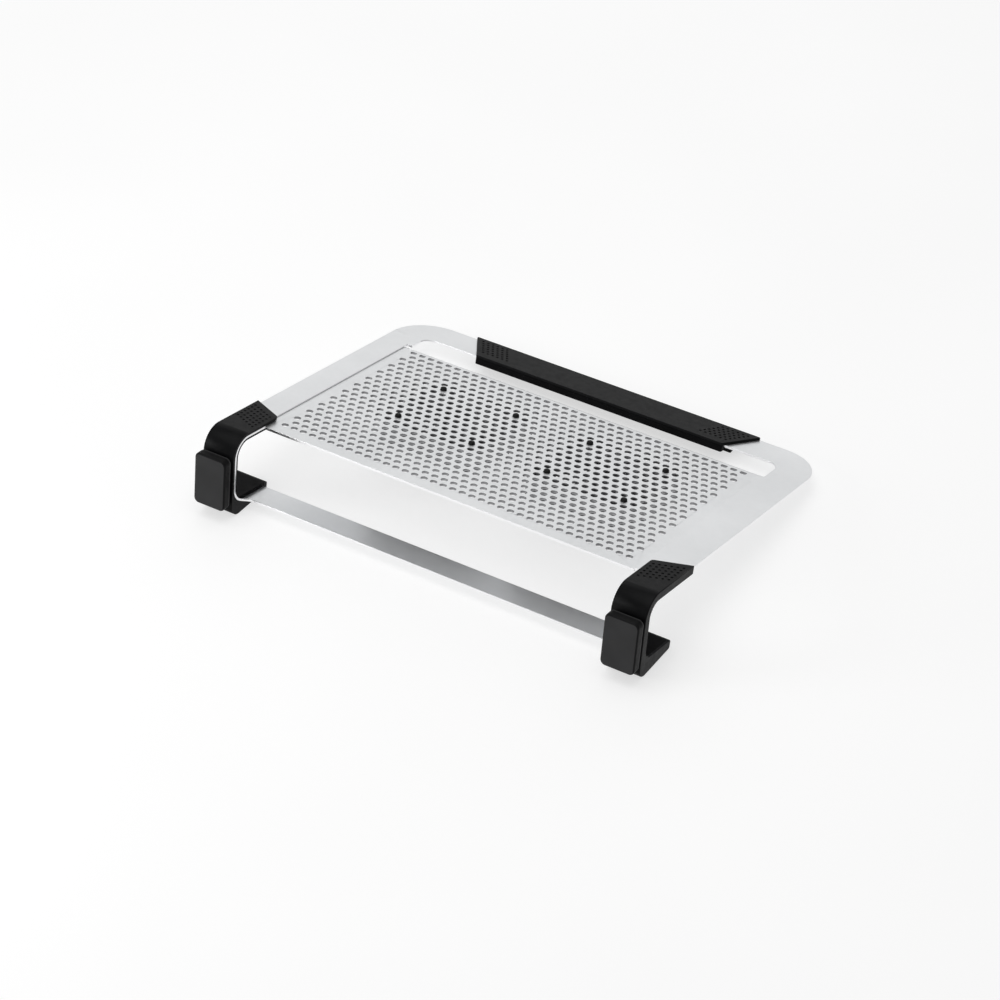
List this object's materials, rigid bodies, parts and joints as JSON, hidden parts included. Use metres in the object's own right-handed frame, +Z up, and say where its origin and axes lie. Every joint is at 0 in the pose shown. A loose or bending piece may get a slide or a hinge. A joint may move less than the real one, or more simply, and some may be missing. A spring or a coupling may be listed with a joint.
{
  "type": "laptop cooling pad",
  "caption": "Sloped aluminium laptop stand bent from sheet, with a perforated deck, black leg covers, pull-out strap pads and fans hung under the panel by pegs.",
  "frame": {"origin": "middle of the bounding box, on the floor", "axes": "+X to the user's right along the deck's long side, +Y from the low edge to the raised edge, +Z up"},
  "size_m": [0.355, 0.2882, 0.061],
  "materials": {
    "frame_aluminium": "fine satin, light silver",
    "panel_aluminium": "fine satin, light silver",
    "cover_plastic": "fine matte texture, black",
    "liner_plastic": "fine matte texture, black",
    "foot_rubber": "matte black rubber",
    "pad_plastic": "soft matte black",
    "elastic_fabric": "woven black elastic",
    "anchor_plastic": "matte black",
    "screw_steel": "turned steel",
    "fan_plastic": "matte black",
    "peg_rubber": "matte black rubber",
    "impeller_plastic": "satin black",
    "socket_plastic": "matte black",
    "lead_plastic": "black insulated pair",
    "bearing_bronze": "sintered bronze",
    "board_laminate": "green laminate",
    "stator_steel": "laminated steel",
    "winding_copper": "enamelled copper",
    "magnet_ferrite": "dark ferrite"
  },
  "bodies": {
    "stand": {"frame_sheet": "frame_aluminium", "perforated_panel": "panel_aluminium", "front_strip_top": "cover_plastic", "front_strip_base": "liner_plastic", "strip_screws": "screw_steel", "front_feet": "foot_rubber", "leg_screws": "screw_steel", "leg_cover_left": "cover_plastic", "leg_cover_right": "cover_plastic", "leg_liner_left": "liner_plastic", "leg_liner_right": "liner_plastic", "rear_foot_left": "foot_rubber", "rear_foot_right": "foot_rubber", "band_anchor_left": "anchor_plastic", "band_anchor_right": "anchor_plastic"},
    "pad_left": {"pad_cap_left": "pad_plastic", "pad_base_left": "pad_plastic", "pad_pin_left": "screw_steel", "band_fold_left": "elastic_fabric", "band_strand_left": "elastic_fabric"},
    "fan_left": {"fan_frame_left": "fan_plastic", "fan_pegs_left": "peg_rubber", "fan_power_socket_left": "socket_plastic", "fan_leads_left": "lead_plastic", "fan_bearing_left": "bearing_bronze", "fan_circuit_board_left": "board_laminate", "fan_stator_core_left": "stator_steel", "fan_windings_left": "winding_copper"},
    "rotor_left": {"rotor_impeller_left": "impeller_plastic", "rotor_magnet_ring_left": "magnet_ferrite", "rotor_shaft_left": "screw_steel", "rotor_retaining_clip_left": "screw_steel"},
    "pad_right": {"pad_cap_right": "pad_plastic", "pad_base_right": "pad_plastic", "pad_pin_right": "screw_steel", "band_fold_right": "elastic_fabric", "band_strand_right": "elastic_fabric"},
    "fan_right": {"fan_frame_right": "fan_plastic", "fan_pegs_right": "peg_rubber", "fan_power_socket_right": "socket_plastic", "fan_leads_right": "lead_plastic", "fan_bearing_right": "bearing_bronze", "fan_circuit_board_right": "board_laminate", "fan_stator_core_right": "stator_steel", "fan_windings_right": "winding_copper"},
    "rotor_right": {"rotor_impeller_right": "impeller_plastic", "rotor_magnet_ring_right": "magnet_ferrite", "rotor_shaft_right": "screw_steel", "rotor_retaining_clip_right": "screw_steel"}
  },
  "joints": [
    {"name": "pad_left_pull", "type": "slide", "parent": "stand", "child": "pad_left", "axis": [0, 0.9945, 0.1045], "range_m": [0, 0.045], "stiffness_N_per_m": 30, "springref_m": -0.01, "deforming": ["band_strand_left"]},
    {"name": "fan_left_release", "type": "slide", "parent": "stand", "child": "fan_left", "axis": [0, 0.1908, -0.9816], "range_m": [0, 0.004]},
    {"name": "rotor_left_spin", "type": "hinge", "parent": "fan_left", "child": "rotor_left", "pos_m": [-0.062, -0.01816, 0.02321], "axis": [0, -0.1908, 0.9816], "continuous": true},
    {"name": "pad_right_pull", "type": "slide", "parent": "stand", "child": "pad_right", "axis": [0, 0.9945, 0.1045], "range_m": [0, 0.045], "stiffness_N_per_m": 30, "springref_m": -0.01, "deforming": ["band_strand_right"]},
    {"name": "fan_right_release", "type": "slide", "parent": "stand", "child": "fan_right", "axis": [0, 0.1908, -0.9816], "range_m": [0, 0.004]},
    {"name": "rotor_right_spin", "type": "hinge", "parent": "fan_right", "child": "rotor_right", "pos_m": [0.062, -0.01816, 0.02321], "axis": [0, -0.1908, 0.9816], "continuous": true}
  ]
}
